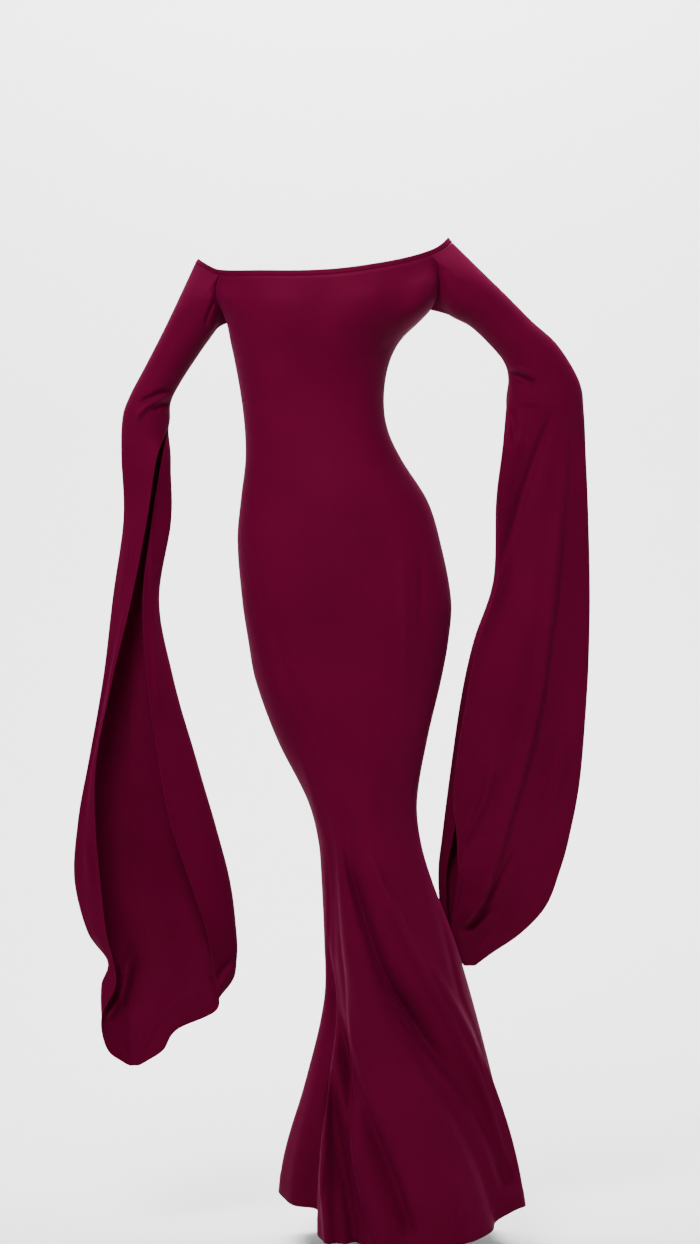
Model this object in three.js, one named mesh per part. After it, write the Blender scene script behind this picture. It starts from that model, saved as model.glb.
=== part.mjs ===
// A mermaid gown in stretch jersey, off the shoulder, with two very long open sleeves.
// It keeps the form it has when worn by a standing figure with both hands on the hips: the
// upper arms slant out, and from each elbow the slit sleeve hangs in one long curved sheet.
// Millimetres, +Z up, +X to the viewer's right, the front faces -Y. The origin is the middle
// of the neckline, where the bust and the arms hold the gown up.

import * as THREE from 'three';

// Cloth and seams
const JERSEY = 1.6;
const CASING_WALL = 2.6;
const CASING_HEIGHT = 8;
const SEAM_GAP = 0.3;

// Grid of each piece: rows run down it, columns run round it, and below the knee the columns
// lean with the skirt's folds; a lean of 1 keeps them upright. CORNER_COLUMNS is the share of
// a panel's columns that lies below each of its armhole seams.
const FRONT_GRID = { rows: 27, columns: 34, lean: 1.7 };
const BACK_GRID = { rows: 24, columns: 26, lean: 1 };
const KNEE_Z = -820;
const HEM_MIDDLE_Z = -1420;
const CORNER_COLUMNS = 0.15;
const SLEEVE_COLUMNS = 22;
const CASING_COLUMNS = 72;

// The body's section is a slightly squared oval
const SQUARENESS = 2.25;

// The gown's outline. left and right are its sides seen from the front, front and back its
// depths before and behind the side seams.
const BODY = [
  { z: 60, left: -190, right: 192, front: 92, back: 80 },
  { z: 0, left: -183, right: 187, front: 106, back: 92 },
  { z: -45, left: -163, right: 175, front: 118, back: 98 },
  { z: -67, left: -151, right: 164, front: 122, back: 100 },
  { z: -87, left: -142, right: 145, front: 122, back: 100 },
  { z: -112, left: -137, right: 119, front: 117, back: 98 },
  { z: -150, left: -129, right: 101, front: 105, back: 91 },
  { z: -202, left: -120, right: 94, front: 93, back: 82 },
  { z: -247, left: -115, right: 100, front: 89, back: 80 },
  { z: -292, left: -114, right: 121, front: 91, back: 86 },
  { z: -352, left: -121, right: 159, front: 99, back: 102 },
  { z: -412, left: -126, right: 178, front: 106, back: 118 },
  { z: -502, left: -119, right: 195, front: 109, back: 124 },
  { z: -562, left: -110, right: 191, front: 106, back: 118 },
  { z: -622, left: -99, right: 180, front: 101, back: 107 },
  { z: -712, left: -66, right: 159, front: 94, back: 92 },
  { z: -802, left: -21, right: 144, front: 87, back: 82 },
  { z: -862, left: -5, right: 149, front: 85, back: 84 },
  { z: -922, left: 0, right: 166, front: 91, back: 94 },
  { z: -1012, left: 4, right: 200, front: 109, back: 116 },
  { z: -1102, left: 5, right: 227, front: 130, back: 140 },
  { z: -1222, left: -20, right: 258, front: 158, back: 172 },
  { z: -1342, left: -53, right: 287, front: 180, back: 202 },
  { z: -1450, left: -62, right: 306, front: 196, back: 224 },
];

// Heights of the top and bottom edges round the body. at is the angle in degrees: 0 is the
// right side, 90 the front, 180 the left side and 270 the back.
const NECKLINE = [
  { at: 0, z: 37 },
  { at: 33, z: 14 },
  { at: 60, z: -4 },
  { at: 90, z: -17 },
  { at: 120, z: -17 },
  { at: 147, z: -14 },
  { at: 165, z: 0 },
  { at: 180, z: 6 },
  { at: 195, z: 2 },
  { at: 213, z: -6 },
  { at: 270, z: 0 },
  { at: 327, z: 22 },
];
const HEM = [
  { at: 0, z: -1398 },
  { at: 22, z: -1402 },
  { at: 33, z: -1416 },
  { at: 42, z: -1424 },
  { at: 60, z: -1434 },
  { at: 90, z: -1444 },
  { at: 120, z: -1438 },
  { at: 134, z: -1430 },
  { at: 143, z: -1402 },
  { at: 156, z: -1396 },
  { at: 180, z: -1382 },
  { at: 225, z: -1402 },
  { at: 270, z: -1424 },
  { at: 315, z: -1418 },
];

// The armhole seams climb from the armpit to the neckline over this angle, before and behind
const ARMHOLE_ANGLE = 33;
const ARMHOLE_BEND = 0.75;
const ARMPIT_LEFT_Z = -87;
const ARMPIT_RIGHT_Z = -67;
// The share of a sleeve's top ring that lies on each armhole seam
const SEAM_SHARE = 0.27;

// Folds of the flared skirt, which start near the knee and swing round to the wearer's left.
// turns gives a fold's angle at each level of FOLD_LEVELS, wide is its half width in degrees,
// and rise is how far it stands out at the hem; a trough has a rise below nought. A fold grows
// FULL_FOLD times as fast as would bring it to its full rise only at the hem.
const FULL_FOLD = 1.6;
const FOLD_LEVELS = [-850, -1000, -1150, -1300, -1430];
const SKIRT_FOLDS = [
  { top: -780, turns: [135, 142, 135, 105, 92], wide: 8, rise: -15 },
  { top: -820, turns: [124, 122, 108, 80, 66], wide: 12, rise: 10 },
  { top: -700, turns: [113, 102, 80, 48, 34], wide: 9, rise: -18 },
  { top: -820, turns: [94, 74, 38, 17, 17], wide: 8, rise: 14 },
  { top: -1130, turns: [40, 36, 26, 10, 9], wide: 5, rise: -8 },
  { top: -1080, turns: [150, 148, 146, 136, 134], wide: 6, rise: 15 },
  { top: -1120, turns: [146, 146, 140, 128, 124], wide: 5, rise: -14 },
  { top: -1050, turns: [148, 146, 138, 118, 112], wide: 7, rise: 12 },
  { top: -1020, turns: [170, 166, 161, 157, 156], wide: 8, rise: -13 },
  { top: -1040, turns: [178, 176, 174, 172, 172], wide: 7, rise: 7 },
  { top: -880, turns: [206, 204, 200, 196, 194], wide: 10, rise: -12 },
  { top: -840, turns: [230, 226, 222, 218, 215], wide: 11, rise: 12 },
  { top: -800, turns: [252, 247, 242, 238, 236], wide: 10, rise: -15 },
  { top: -860, turns: [272, 268, 265, 263, 262], wide: 11, rise: 12 },
  { top: -900, turns: [291, 289, 288, 288, 288], wide: 10, rise: -14 },
  { top: -860, turns: [312, 312, 313, 314, 314], wide: 11, rise: 13 },
  { top: -940, turns: [331, 333, 335, 337, 338], wide: 9, rise: -11 },
];

// The fitted upper sleeve, ring by ring from the shoulder to the elbow. Each ring reaches from
// the outer side of the arm to the under side; y is its middle and deep its half depth.
const RIGHT_ARM = [
  { outer: [-215, -52], under: [-158, -97], y: 2, deep: 50 },
  { outer: [-237, -97], under: [-182, -130], y: 8, deep: 44 },
  { outer: [-264, -148], under: [-211, -173], y: 18, deep: 39 },
  { outer: [-290, -196], under: [-227, -204], y: 28, deep: 37 },
  { outer: [-301, -230], under: [-230, -238], y: 34, deep: 36 },
];
const LEFT_ARM = [
  { outer: [239, -7], under: [193, -75], y: 4, deep: 50 },
  { outer: [281, -47], under: [224, -91], y: 12, deep: 45 },
  { outer: [317, -82], under: [254, -118], y: 22, deep: 41 },
  { outer: [357, -118], under: [275, -143], y: 32, deep: 40 },
  { outer: [390, -172], under: [282, -168], y: 42, deep: 43 },
  { outer: [397, -218], under: [279, -209], y: 46, deep: 45 },
];

// The open drape below the elbow. At each height the sheet runs from its front hem edge, round
// the outer fold and the back, to the inner fold and on to its back hem edge, each as [x, y].
const RIGHT_DRAPE = [
  { z: -292, front: [-248, 0], outer: [-302, 32], back: [-264, 68], inner: [-228, 42], end: [-240, 20] },
  { z: -382, front: [-262, -4], outer: [-299, 28], back: [-262, 66], inner: [-227, 42], end: [-255, 20] },
  { z: -502, front: [-285, -10], outer: [-315, 22], back: [-280, 64], inner: [-245, 40], end: [-268, 10] },
  { z: -622, front: [-313, -14], outer: [-328, 14], back: [-288, 68], inner: [-223, 36], end: [-260, -4] },
  { z: -742, front: [-337, -18], outer: [-347, 10], back: [-288, 76], inner: [-189, 34], end: [-243, -14] },
  { z: -832, front: [-338, -24], outer: [-364, 12], back: [-284, 86], inner: [-163, 34], end: [-226, -20] },
  { z: -922, front: [-330, -30], outer: [-370, 12], back: [-274, 90], inner: [-140, 34], end: [-196, -22] },
  { z: -1000, front: [-321, -28], outer: [-350, 6], back: [-264, 82], inner: [-131, 32], end: [-170, -16] },
  { z: -1044, front: [-311, -20], outer: [-319, 0], back: [-258, 74], inner: [-131, 32], end: [-162, -6] },
  { z: -1080, front: [-317, -12], outer: [-326, 8], back: [-254, 62], inner: [-141, 34], end: [-158, 8] },
  { z: -1120, front: [-328, -2], outer: [-326, 14], back: [-268, 46], inner: [-190, 36], end: [-158, 24] },
  { z: -1150, front: [-330, 4], outer: [-314, 18], back: [-276, 36], inner: [-234, 34], end: [-218, 28] },
  { z: -1180, front: [-320, 8], outer: [-304, 18], back: [-280, 28], inner: [-256, 28], end: [-238, 26] },
  { z: -1206, front: [-296, 14], outer: [-290, 18], back: [-283, 21], inner: [-275, 22], end: [-268, 21] },
];
const LEFT_DRAPE = [
  { z: -282, front: [271, 0], outer: [399, 46], back: [332, 92], inner: [274, 62], end: [290, 36] },
  { z: -354, front: [264, -6], outer: [402, 48], back: [332, 98], inner: [266, 66], end: [283, 38] },
  { z: -472, front: [264, -8], outer: [405, 50], back: [334, 104], inner: [262, 72], end: [280, 42] },
  { z: -565, front: [236, -4], outer: [404, 52], back: [320, 110], inner: [233, 74], end: [250, 44] },
  { z: -655, front: [218, 4], outer: [400, 54], back: [308, 116], inner: [214, 78], end: [231, 50] },
  { z: -776, front: [200, 16], outer: [390, 58], back: [293, 122], inner: [197, 84], end: [214, 60] },
  { z: -860, front: [196, 26], outer: [375, 60], back: [279, 124], inner: [187, 90], end: [203, 68] },
  { z: -912, front: [210, 34], outer: [361, 62], back: [271, 120], inner: [182, 92], end: [193, 72] },
  { z: -966, front: [206, 46], outer: [340, 66], back: [265, 112], inner: [184, 92], end: [192, 76] },
  { z: -1008, front: [201, 60], outer: [302, 72], back: [255, 102], inner: [193, 92], end: [194, 78] },
  { z: -1040, front: [207, 70], outer: [256, 76], back: [244, 94], inner: [210, 92], end: [205, 84] },
  { z: -1058, front: [216, 76], outer: [232, 77], back: [233, 86], inner: [222, 88], end: [216, 85] },
];
// The shares of the sheet's width at which a row's five points lie, at the slit and at the tip
const SLIT_KNOTS = [0, 0.47, 0.71, 0.93, 1];
const RIGHT_TIP_KNOTS = [0, 0.24, 0.52, 0.79, 1];
const LEFT_TIP_KNOTS = [0, 0.46, 0.68, 0.9, 1];
const ROWS_PER_ARM_RING = 2;
const ROWS_PER_DRAPE_ROW = 2;

// Folds of the drapes. across is the place on the sheet, from 0 at the front hem edge to 1 at
// the back one, at the fold's start and end; start and end are shares of the drape's length.
const RIGHT_DRAPE_FOLDS = [
  { start: 0.1, end: 0.9, across: [0.52, 0.42], wide: 0.05, rise: -6 },
  { start: 0.35, end: 0.95, across: [0.66, 0.62], wide: 0.05, rise: 6 },
  { start: 0.05, end: 0.7, across: [0.18, 0.16], wide: 0.05, rise: 4 },
];
const LEFT_DRAPE_FOLDS = [
  { start: -0.1, end: 0.45, across: [0.22, 0.03], wide: 0.05, rise: 7 },
  { start: 0, end: 0.95, across: [0.27, 0.06], wide: 0.05, rise: -7 },
  { start: 0.3, end: 1, across: [0.36, 0.2], wide: 0.05, rise: 6 },
  { start: 0.1, end: 0.9, across: [0.6, 0.66], wide: 0.06, rise: -6 },
];

// The casing's outer face, as drops below the neckline and shares by which it stands proud
const CASING_DROPS = [0, CASING_HEIGHT / 2, CASING_HEIGHT];
const CASING_BULGES = [0.4, 1, 0.6];

const WINE = new THREE.Color('#5e0a2a');
const JERSEY_ROUGHNESS = 0.78;
const CASING_ROUGHNESS = 0.74;

const radians = THREE.MathUtils.degToRad;

function clamp01(value) {
  return THREE.MathUtils.clamp(value, 0, 1);
}

// A smooth curve through four values, between the middle two
function blend(before, from, to, after, t) {
  const a = 2 * from;
  const b = to - before;
  const c = 2 * before - 5 * from + 4 * to - after;
  const d = 3 * from - before - 3 * to + after;
  return 0.5 * (a + b * t + c * t * t + d * t * t * t);
}

// The body's four sizes at any height, read smoothly from the table
function bodySize(z, column) {
  let row = 0;
  while (row < BODY.length - 2 && BODY[row + 1].z > z) {
    row += 1;
  }
  const upper = BODY[row];
  const lower = BODY[row + 1];
  const above = BODY[Math.max(row - 1, 0)];
  const below = BODY[Math.min(row + 2, BODY.length - 1)];
  const step = lower.z - upper.z;
  const slopeUp = (lower[column] - above[column]) / (lower.z - above.z);
  const slopeDown = (below[column] - upper[column]) / (below.z - upper.z);
  const t = (z - upper.z) / step;
  const t2 = t * t;
  const t3 = t2 * t;
  return (2 * t3 - 3 * t2 + 1) * upper[column] + (t3 - 2 * t2 + t) * step * slopeUp
    + (3 * t2 - 2 * t3) * lower[column] + (t3 - t2) * step * slopeDown;
}

// The height of a closed edge at an angle, read smoothly from its table
function edgeHeight(table, angle) {
  const turned = ((angle % 360) + 360) % 360;
  const count = table.length;
  let row = count - 1;
  while (table[row].at > turned) {
    row -= 1;
  }
  const next = (row + 1) % count;
  const span = (table[next].at - table[row].at + 360) % 360;
  const t = (turned - table[row].at) / span;
  const before = table[(row - 1 + count) % count].z;
  const after = table[(row + 2) % count].z;
  return blend(before, table[row].z, table[next].z, after, t);
}

// A skirt fold's angle at a height, read smoothly from its turns
function foldAngle(turns, z) {
  const last = FOLD_LEVELS.length - 1;
  let level = 0;
  while (level < last - 1 && FOLD_LEVELS[level + 1] > z) {
    level += 1;
  }
  const t = clamp01((FOLD_LEVELS[level] - z) / (FOLD_LEVELS[level] - FOLD_LEVELS[level + 1]));
  const before = turns[Math.max(level - 1, 0)];
  const after = turns[Math.min(level + 2, last)];
  return blend(before, turns[level], turns[level + 1], after, t);
}

// How far the skirt's folds push the cloth out at an angle and a height
function foldRise(angle, z) {
  const hem = FOLD_LEVELS[FOLD_LEVELS.length - 1];
  let rise = 0;
  for (const fold of SKIRT_FOLDS) {
    const down = (fold.top - z) / (fold.top - hem);
    if (down > 0) {
      const away = (angle - foldAngle(fold.turns, z)) / fold.wide;
      rise += fold.rise * Math.min(down * FULL_FOLD, 1) * Math.exp(-away * away);
    }
  }
  return rise;
}

// A point of the gown's outer face at an angle and a height
function bodyPoint(angle, z) {
  const left = bodySize(z, 'left');
  const right = bodySize(z, 'right');
  const deep = bodySize(z, Math.sin(radians(angle)) > 0 ? 'front' : 'back');
  const across = Math.cos(radians(angle));
  const ahead = Math.sin(radians(angle));
  const power = 2 / SQUARENESS;
  const x = (right - left) / 2 * Math.sign(across) * Math.abs(across) ** power;
  const y = -deep * Math.sign(ahead) * Math.abs(ahead) ** power;
  const grow = 1 + foldRise(angle, z) / Math.hypot(x, y);
  return new THREE.Vector3((left + right) / 2 + x * grow, y * grow, z);
}

// The height of the armhole seam, at an angle measured from the side
function armholeHeight(fromSide, onRight) {
  const armpit = onRight ? ARMPIT_RIGHT_Z : ARMPIT_LEFT_Z;
  const corner = onRight ? ARMHOLE_ANGLE : 180 - ARMHOLE_ANGLE;
  const top = edgeHeight(NECKLINE, corner) - CASING_HEIGHT - SEAM_GAP;
  return armpit + (top - armpit) * (Math.abs(fromSide) / ARMHOLE_ANGLE) ** ARMHOLE_BEND;
}

// The top edge of the front and back: neckline in the middle, armhole seams at the sides
function panelTop(angle) {
  const onRight = Math.cos(radians(angle)) > 0;
  const side = onRight ? (angle > 180 ? 360 : 0) : 180;
  const fromSide = Math.abs(angle - side);
  if (fromSide < ARMHOLE_ANGLE) {
    return armholeHeight(fromSide, onRight);
  }
  return edgeHeight(NECKLINE, angle) - CASING_HEIGHT - SEAM_GAP;
}

// A closed wall from a grid of outer points. The first rows may close on themselves as rings,
// so that their last column is their first; below them the sheet is open. turn is 1 where the
// columns run clockwise seen from above, and -1 where they run the other way. A panel's rims
// at its side seams lie square to the y axis, so that front and back meet flat.
function wall(grid, thickness, closedRows, turn, seamSides = false) {
  const rows = grid.length;
  const last = grid[0].length - 1;
  const positions = [];
  const outer = [];
  const inner = [];
  const isClosed = (row) => row < closedRows;
  const at = (row, column) => {
    if (isClosed(row)) {
      return grid[row][(column + last) % last];
    }
    return grid[row][THREE.MathUtils.clamp(column, 0, last)];
  };
  for (let row = 0; row < rows; row += 1) {
    outer.push([]);
    inner.push([]);
    for (let column = 0; column <= last; column += 1) {
      if (isClosed(row) && column === last) {
        outer[row].push(outer[row][0]);
        inner[row].push(inner[row][0]);
        continue;
      }
      const up = grid[Math.max(row - 1, 0)][column];
      const down = grid[Math.min(row + 1, rows - 1)][column];
      const along = at(row, column + 1).clone().sub(at(row, column - 1));
      const normal = along.cross(down.clone().sub(up)).multiplyScalar(turn);
      if (seamSides && (column === 0 || column === last)) {
        normal.y = 0;
      }
      normal.normalize();
      const point = grid[row][column];
      const back = point.clone().addScaledVector(normal, -thickness);
      outer[row].push(positions.length);
      positions.push(point);
      inner[row].push(positions.length);
      positions.push(back);
    }
  }
  const index = [];
  const quad = (a, b, c, d) => {
    const order = turn > 0 ? [a, b, c, a, c, d] : [a, c, b, a, d, c];
    index.push(...order);
  };
  for (let row = 0; row < rows - 1; row += 1) {
    for (let c = 0; c < last; c += 1) {
      quad(outer[row][c], outer[row][c + 1], outer[row + 1][c + 1], outer[row + 1][c]);
      quad(inner[row][c + 1], inner[row][c], inner[row + 1][c], inner[row + 1][c + 1]);
    }
    if (!isClosed(row + 1)) {
      quad(outer[row][0], outer[row + 1][0], inner[row + 1][0], inner[row][0]);
      quad(outer[row + 1][last], outer[row][last], inner[row][last], inner[row + 1][last]);
    }
  }
  const end = rows - 1;
  for (let c = 0; c < last; c += 1) {
    quad(outer[0][c + 1], outer[0][c], inner[0][c], inner[0][c + 1]);
    quad(outer[end][c], outer[end][c + 1], inner[end][c + 1], inner[end][c]);
  }
  const geometry = new THREE.BufferGeometry();
  const flat = positions.flatMap((point) => [point.x, point.y, point.z]);
  geometry.setAttribute('position', new THREE.Float32BufferAttribute(flat, 3));
  geometry.setIndex(index);
  geometry.computeVertexNormals();
  return geometry;
}

function clothPiece(name, geometry, roughness) {
  const material = new THREE.MeshStandardMaterial({ color: WINE, roughness, metalness: 0 });
  const piece = new THREE.Mesh(geometry, material);
  piece.name = name;
  return piece;
}

// The front or the back of the gown. Columns crowd a little towards the corners of the
// armholes, where the top edge turns.
function bodyPanel(name, fromAngle, { rows, columns, lean }, seamShift) {
  const corner = Math.round(columns * CORNER_COLUMNS);
  const swings = [];
  for (let c = 0; c <= columns; c += 1) {
    let swing;
    if (c <= corner) {
      swing = ARMHOLE_ANGLE * c / corner;
    } else if (c >= columns - corner) {
      swing = 180 - ARMHOLE_ANGLE * (columns - c) / corner;
    } else {
      const share = (c - corner) / (columns - 2 * corner);
      swing = ARMHOLE_ANGLE + (180 - 2 * ARMHOLE_ANGLE) * share;
    }
    swings.push(swing);
  }
  const grid = [];
  for (let row = 0; row <= rows; row += 1) {
    grid.push(swings.map((swing) => {
      const top = panelTop(fromAngle + swing);
      const level = THREE.MathUtils.lerp(top, HEM_MIDDLE_Z, row / rows);
      const down = clamp01((KNEE_Z - level) / (KNEE_Z - HEM_MIDDLE_Z));
      const leant = THREE.MathUtils.lerp(swing, 180 * (swing / 180) ** lean, down);
      const angle = fromAngle + leant;
      const z = THREE.MathUtils.lerp(top, edgeHeight(HEM, angle), row / rows);
      const point = bodyPoint(angle, z);
      point.y += seamShift;
      return point;
    }));
  }
  return clothPiece(name, wall(grid, JERSEY, 0, 1, true), JERSEY_ROUGHNESS);
}

// The sleeve's top ring: from the armpit up the front armhole seam, over the arm under the
// neckline casing, and down the back armhole seam
function armholePoint(share, onRight) {
  const side = onRight ? 0 : 180;
  const towardsFront = onRight ? 1 : -1;
  const outward = onRight ? 1 : -1;
  let fromSide;
  let z;
  let seam = 0;
  if (share < SEAM_SHARE || share > 1 - SEAM_SHARE) {
    const climb = share < 0.5 ? share / SEAM_SHARE : (1 - share) / SEAM_SHARE;
    fromSide = ARMHOLE_ANGLE * climb * (share < 0.5 ? 1 : -1);
    z = armholeHeight(fromSide, onRight);
    seam = 1;
  } else {
    fromSide = ARMHOLE_ANGLE * (0.5 - share) / (0.5 - SEAM_SHARE);
    z = edgeHeight(NECKLINE, side + fromSide * towardsFront) - CASING_HEIGHT - SEAM_GAP;
  }
  const point = bodyPoint(side + fromSide * towardsFront, z);
  point.x += outward * SEAM_GAP * 2 * seam;
  point.z += SEAM_GAP * 2 * seam * (1 - Math.abs(fromSide) / ARMHOLE_ANGLE);
  return point;
}

function armRingPoint(ring, share) {
  const turn = 2 * Math.PI * share;
  const middleX = (ring.outer[0] + ring.under[0]) / 2;
  const middleZ = (ring.outer[1] + ring.under[1]) / 2;
  const x = middleX + (ring.under[0] - ring.outer[0]) / 2 * Math.cos(turn);
  const z = middleZ + (ring.under[1] - ring.outer[1]) / 2 * Math.cos(turn);
  return new THREE.Vector3(x, ring.y - ring.deep * Math.sin(turn), z);
}

function drapePoint(row, share, knots) {
  const stops = [row.front, row.outer, row.back, row.inner, row.end];
  let span = 0;
  while (span < stops.length - 2 && knots[span + 1] < share) {
    span += 1;
  }
  const t = (share - knots[span]) / (knots[span + 1] - knots[span]);
  const stop = (place) => stops[THREE.MathUtils.clamp(place, 0, stops.length - 1)];
  const along = [0, 1].map((axis) => blend(
    stop(span - 1)[axis], stop(span)[axis], stop(span + 1)[axis], stop(span + 2)[axis], t));
  return new THREE.Vector3(along[0], along[1], row.z);
}

// The push of a drape's folds, at a share across it and a share down it
function drapeRise(folds, share, down) {
  let rise = 0;
  for (const fold of folds) {
    const along = (down - fold.start) / (fold.end - fold.start);
    if (along > 0 && along < 1) {
      const middle = THREE.MathUtils.lerp(fold.across[0], fold.across[1], along);
      const away = (share - middle) / fold.wide;
      rise += fold.rise * Math.sin(Math.PI * along) * Math.exp(-away * away);
    }
  }
  return rise;
}

// One sleeve: rings down to the elbow, where the slit starts on the inner side, and the open
// drape below it, as one sheet
function sleeve(name, arm, drape, folds, onRight) {
  const turn = onRight ? -1 : 1;
  const stations = [(share) => armholePoint(share, onRight)];
  for (const ring of arm) {
    stations.push((share) => armRingPoint(ring, share));
  }
  const slitStation = stations.length - 1;
  const tipKnots = onRight ? LEFT_TIP_KNOTS : RIGHT_TIP_KNOTS;
  drape.forEach((row, r) => {
    const down = clamp01(r / (drape.length * 0.5));
    const knots = SLIT_KNOTS.map((knot, k) => THREE.MathUtils.lerp(knot, tipKnots[k], down));
    stations.push((share) => drapePoint(row, share, knots));
  });
  const levels = [];
  for (let s = 0; s < stations.length - 1; s += 1) {
    const steps = s < slitStation ? ROWS_PER_ARM_RING : ROWS_PER_DRAPE_ROW;
    for (let i = 0; i < steps; i += 1) {
      levels.push(s + i / steps);
    }
  }
  levels.push(stations.length - 1);
  const grid = levels.map((level) => {
    const span = Math.min(Math.floor(level), stations.length - 2);
    const t = level - span;
    const row = [];
    for (let c = 0; c <= SLEEVE_COLUMNS; c += 1) {
      const share = c / SLEEVE_COLUMNS;
      const from = stations[span](share);
      const to = stations[span + 1](share);
      // The rings and the sheet are curves of their own, so each span keeps to its side
      const lowest = span < slitStation ? slitStation : stations.length - 1;
      const highest = span < slitStation ? 0 : slitStation;
      const before = stations[Math.max(span - 1, highest)](share);
      const after = stations[Math.min(span + 2, lowest)](share);
      row.push(new THREE.Vector3(
        blend(before.x, from.x, to.x, after.x, t),
        blend(before.y, from.y, to.y, after.y, t),
        blend(before.z, from.z, to.z, after.z, t),
      ));
    }
    return row;
  });
  const closedRows = levels.filter((level) => level <= slitStation).length;
  const pushed = grid.map((row, r) => row.map((point, c) => {
    const down = clamp01((levels[r] - slitStation) / drape.length);
    const rise = drapeRise(folds, c / SLEEVE_COLUMNS, down);
    if (rise === 0) {
      return point;
    }
    const along = row[Math.min(c + 1, SLEEVE_COLUMNS)].clone().sub(row[Math.max(c - 1, 0)]);
    const normal = new THREE.Vector3(along.y, -along.x, 0).normalize().multiplyScalar(-turn);
    return point.clone().addScaledVector(normal, -rise);
  }));
  return clothPiece(name, wall(pushed, JERSEY, closedRows, turn), JERSEY_ROUGHNESS);
}

// The casing: a thicker ring that continues the top edges up to the neckline
function neckCasing() {
  const proud = (CASING_WALL - JERSEY) / 2;
  const grid = CASING_DROPS.map((drop, r) => {
    const row = [];
    for (let c = 0; c <= CASING_COLUMNS; c += 1) {
      const angle = 360 * c / CASING_COLUMNS;
      const point = bodyPoint(angle, edgeHeight(NECKLINE, angle) - drop);
      const out = new THREE.Vector3(point.x, point.y, 0).normalize();
      row.push(point.addScaledVector(out, proud * CASING_BULGES[r]));
    }
    return row;
  });
  return clothPiece('neckline_casing', wall(grid, CASING_WALL, grid.length, 1), CASING_ROUGHNESS);
}

const gown = new THREE.Group();
gown.name = 'mermaid_gown';
gown.add(bodyPanel('gown_front', 0, FRONT_GRID, -SEAM_GAP / 2));
gown.add(bodyPanel('gown_back', 180, BACK_GRID, SEAM_GAP / 2));
gown.add(sleeve('sleeve_right', RIGHT_ARM, RIGHT_DRAPE, RIGHT_DRAPE_FOLDS, false));
gown.add(sleeve('sleeve_left', LEFT_ARM, LEFT_DRAPE, LEFT_DRAPE_FOLDS, true));
gown.add(neckCasing());

export default gown;
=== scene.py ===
# A mermaid gown in burgundy stretch jersey, off the shoulder, with two very long open sleeves.
# Metres, +Z up, +X to the viewer's right, the front faces -Y. The origin is the middle of the
# neckline. Places on the front view are written as (across, height) in the plane Y = 0.

import math
from collections import namedtuple

import bmesh
import bpy
import numpy as np
from mathutils import Matrix, Vector


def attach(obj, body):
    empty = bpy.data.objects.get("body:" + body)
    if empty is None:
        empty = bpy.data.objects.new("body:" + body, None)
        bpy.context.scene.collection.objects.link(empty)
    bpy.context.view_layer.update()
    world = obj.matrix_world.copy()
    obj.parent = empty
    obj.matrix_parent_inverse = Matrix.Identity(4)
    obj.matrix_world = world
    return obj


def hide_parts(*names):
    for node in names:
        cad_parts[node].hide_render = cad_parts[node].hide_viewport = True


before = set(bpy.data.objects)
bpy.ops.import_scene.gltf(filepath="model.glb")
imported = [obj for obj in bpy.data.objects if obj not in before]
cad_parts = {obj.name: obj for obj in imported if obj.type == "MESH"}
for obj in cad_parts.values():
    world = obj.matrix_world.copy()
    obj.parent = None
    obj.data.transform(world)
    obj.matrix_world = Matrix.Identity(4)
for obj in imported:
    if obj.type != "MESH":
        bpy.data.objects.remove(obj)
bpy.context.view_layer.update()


# Materials: a fine matte jersey with a soft sheen and a faint knit, the same with a coarser
# knit for the casing, and the thread of the stitches
def knit_material(name, dark, light, roughness, knit_depth):
    material = bpy.data.materials.new(name)
    material.use_nodes = True
    nodes = material.node_tree.nodes
    links = material.node_tree.links
    shader = nodes["Principled BSDF"]
    place = nodes.new("ShaderNodeTexCoord")

    patches = nodes.new("ShaderNodeTexNoise")
    patches.inputs["Scale"].default_value = 7
    patches.inputs["Detail"].default_value = 4
    links.new(place.outputs["Object"], patches.inputs["Vector"])
    colours = nodes.new("ShaderNodeValToRGB")
    colours.color_ramp.elements[0].position = 0.3
    colours.color_ramp.elements[0].color = (*dark, 1)
    colours.color_ramp.elements[1].position = 0.7
    colours.color_ramp.elements[1].color = (*light, 1)
    links.new(patches.outputs["Fac"], colours.inputs["Fac"])
    links.new(colours.outputs["Color"], shader.inputs["Base Color"])

    stitches = nodes.new("ShaderNodeTexNoise")
    stitches.inputs["Scale"].default_value = 900
    stitches.inputs["Detail"].default_value = 2
    links.new(place.outputs["Object"], stitches.inputs["Vector"])
    relief = nodes.new("ShaderNodeBump")
    relief.inputs["Strength"].default_value = knit_depth
    relief.inputs["Distance"].default_value = 0.0004
    links.new(stitches.outputs["Fac"], relief.inputs["Height"])
    links.new(relief.outputs["Normal"], shader.inputs["Normal"])

    shader.inputs["Roughness"].default_value = roughness
    shader.inputs["Specular IOR Level"].default_value = 0.02
    shader.inputs["Sheen Weight"].default_value = 0.12
    shader.inputs["Sheen Roughness"].default_value = 0.5
    shader.inputs["Sheen Tint"].default_value = (0.5, 0.01, 0.16, 1)
    return material


DARK_BURGUNDY = (0.047, 0.0001, 0.0095)
LIGHT_BURGUNDY = (0.056, 0.0003, 0.0115)
jersey = knit_material("jersey_cloth", DARK_BURGUNDY, LIGHT_BURGUNDY, 0.78, 0.35)
casing_jersey = knit_material("casing_cloth", DARK_BURGUNDY, LIGHT_BURGUNDY, 0.78, 0.45)
thread = knit_material("thread", (0.05, 0.0002, 0.0105), (0.062, 0.0004, 0.013), 0.6, 0.1)

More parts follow.
